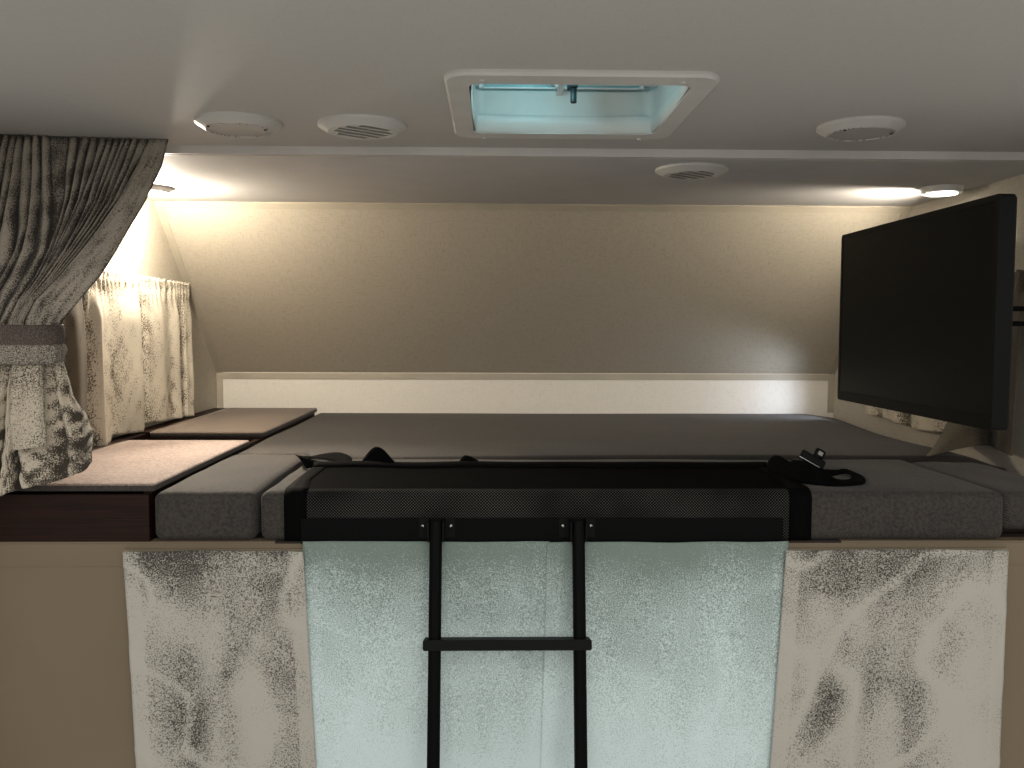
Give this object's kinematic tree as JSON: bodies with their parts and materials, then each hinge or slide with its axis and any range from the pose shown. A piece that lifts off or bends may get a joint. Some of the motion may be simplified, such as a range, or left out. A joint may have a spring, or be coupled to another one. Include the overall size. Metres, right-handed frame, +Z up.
{
  "type": "motorhome over-cab berth section",
  "caption": "Over-cab sleeping alcove of a motorhome: shell, roof hatch, windows, bed cushions, side locker, safety net, ladder, television and curtains.",
  "frame": {"origin": "on the underside of the threshold, at floor level in the middle of the way through to the cab, in the plane of the bulkheads' aft faces", "axes": "+X to the right looking forward, +Y forward towards the nose, +Z up"},
  "size_m": [2.492, 2.48, 2.213],
  "materials": {
    "coach_skin": "smooth gloss white fibreglass sheet",
    "edge_trim": "white extruded moulding",
    "window_frame": "black powder-coated aluminium",
    "window_glass": "tinted safety glass",
    "moulding": "cream wrapped moulding",
    "ceiling_vinyl": "warm white ceiling vinyl",
    "deck_board": "unfinished plywood",
    "bulkhead_vinyl": "taupe upholstery vinyl",
    "threshold_alloy": "brushed aluminium",
    "hatch_plastic": "white moulded ABS",
    "hatch_dome": "translucent white acrylic",
    "crank_metal": "dark zinc-plated steel",
    "lamp_body": "white moulded plastic",
    "lamp_lens": "frosted diffuser",
    "marker_lens": "amber acrylic",
    "bed_cloth": "grey-taupe twill",
    "lid_cloth": "salmon-taupe tweed",
    "cherry_wood": "dark cherry foil, satin",
    "hinge_steel": "plain steel",
    "black_alloy": "black anodised aluminium",
    "black_net": "black knitted mesh and webbing",
    "black_plastic": "black moulded plastic",
    "foot_rubber": "black rubber",
    "tv_case": "gloss black plastic",
    "tv_glass": "dark screen with a low-glare film",
    "berth_cloth": "grey mottled velvet",
    "window_cloth": "silver-cream mottled cloth",
    "cab_cloth": "silver-charcoal mottled cloth"
  },
  "bodies": {
    "shell": {"side_wall_left": "coach_skin", "side_wall_right": "coach_skin", "window_frames": "window_frame", "window_panes": "window_glass", "nose_lower": "coach_skin", "nose_slope": "coach_skin", "nose_mouldings": "moulding", "deck": "deck_board", "bulkhead_left": "bulkhead_vinyl", "bulkhead_right": "bulkhead_vinyl", "threshold": "threshold_alloy", "hatch_frame": "hatch_plastic", "hatch_crank": "crank_metal", "air_registers": "lamp_body", "speakers": "lamp_body", "berth_lamps": "lamp_body", "lamp_lenses": "lamp_lens", "roof": "coach_skin", "ceiling_track": "moulding", "berth_ceiling": "ceiling_vinyl", "corner_mouldings": "edge_trim", "marker_lamps": "marker_lens", "mattress_back": "bed_cloth", "cushion_front_main": "bed_cloth", "cushion_front_left": "bed_cloth", "cushion_front_right": "bed_cloth", "locker_case": "cherry_wood", "wall_ledge": "cherry_wood", "locker_hinges": "hinge_steel", "net_rail": "black_alloy", "safety_net": "black_net", "net_straps": "black_net", "net_buckle": "black_plastic", "ladder_brackets": "black_plastic", "tv_wall_plate": "black_alloy", "berth_curtain": "berth_cloth", "curtain_tieback": "berth_cloth", "window_curtains": "window_cloth", "window_curtain_rods": "crank_metal", "cab_curtain_track": "moulding", "cab_curtains_centre": "cab_cloth", "cab_curtains_side": "cab_cloth"},
    "hatch_lid": {"hatch_lid": "hatch_dome"},
    "lid_near": {"locker_lid_near": "lid_cloth"},
    "lid_far": {"locker_lid_far": "lid_cloth"},
    "ladder": {"ladder_rails": "black_alloy", "ladder_rungs": "black_plastic", "ladder_feet": "foot_rubber"},
    "tv_arm": {"tv_arm": "black_alloy"},
    "television": {"tv_body": "tv_case", "tv_screen": "tv_glass", "tv_head": "black_alloy"}
  },
  "joints": [
    {"name": "hatch_lift", "type": "hinge", "parent": "shell", "child": "hatch_lid", "pos_m": [0.008, 0.132, 2.182], "axis": [-1, 0, 0], "range_deg": [0, 70]},
    {"name": "near_lid_lift", "type": "hinge", "parent": "shell", "child": "lid_near", "pos_m": [-1.1445, 0.35, 1.3835], "axis": [0, -1, 0], "range_deg": [0, 85]},
    {"name": "far_lid_lift", "type": "hinge", "parent": "shell", "child": "lid_far", "pos_m": [-1.1445, 1.25, 1.3875], "axis": [0, -1, 0], "range_deg": [0, 27]},
    {"name": "ladder_swing", "type": "hinge", "parent": "shell", "child": "ladder", "pos_m": [-0.107, -0.04, 1.306], "axis": [-1, 0, 0], "range_deg": [0, 60]},
    {"name": "tv_wall_swivel", "type": "hinge", "parent": "shell", "child": "tv_arm", "pos_m": [1.166, 0.211, 1.728], "axis": [0, 0, 1], "range_deg": [-20, 20]},
    {"name": "tv_head_swivel", "type": "hinge", "parent": "tv_arm", "child": "television", "pos_m": [0.864, 0.211, 1.728], "axis": [0, 0, 1], "range_deg": [-20, 20]}
  ]
}
